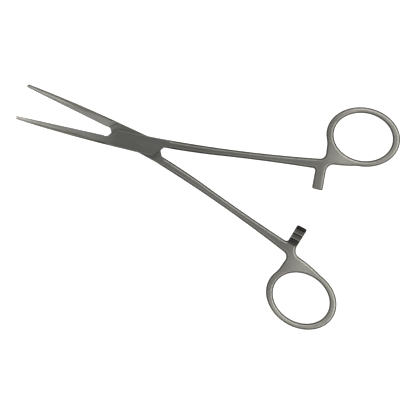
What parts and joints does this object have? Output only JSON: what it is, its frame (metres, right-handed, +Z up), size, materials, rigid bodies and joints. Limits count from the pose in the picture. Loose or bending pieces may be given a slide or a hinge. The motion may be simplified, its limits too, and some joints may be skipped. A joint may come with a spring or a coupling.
{
  "type": "piercing clamp",
  "caption": "Straight box-lock piercing clamp of satin stainless steel with serrated jaws, ratchet bars and oval finger rings, shown a little open.",
  "frame": {"origin": "the hinge axis, at the underside of the box lock, where the clamp rests", "axes": "+X along the closed female half toward its finger ring (the jaws point to -X), +Y toward the female half's ring, +Z up along the hinge axis, through the clamp's thickness"},
  "size_m": [0.1581, 0.0959, 0.0056],
  "materials": {
    "satin_steel": "satin",
    "rivet_steel": "satin"
  },
  "bodies": {
    "female_body": {"female_half": "satin_steel", "pivot_rivet": "rivet_steel"},
    "male_body": {"male_half": "satin_steel"}
  },
  "joints": [
    {"name": "box_lock", "type": "hinge", "parent": "female_body", "child": "male_body", "pos_m": [0, 0, 0], "axis": [0, 0, 1], "range_deg": [-46.2, 13.8]}
  ]
}
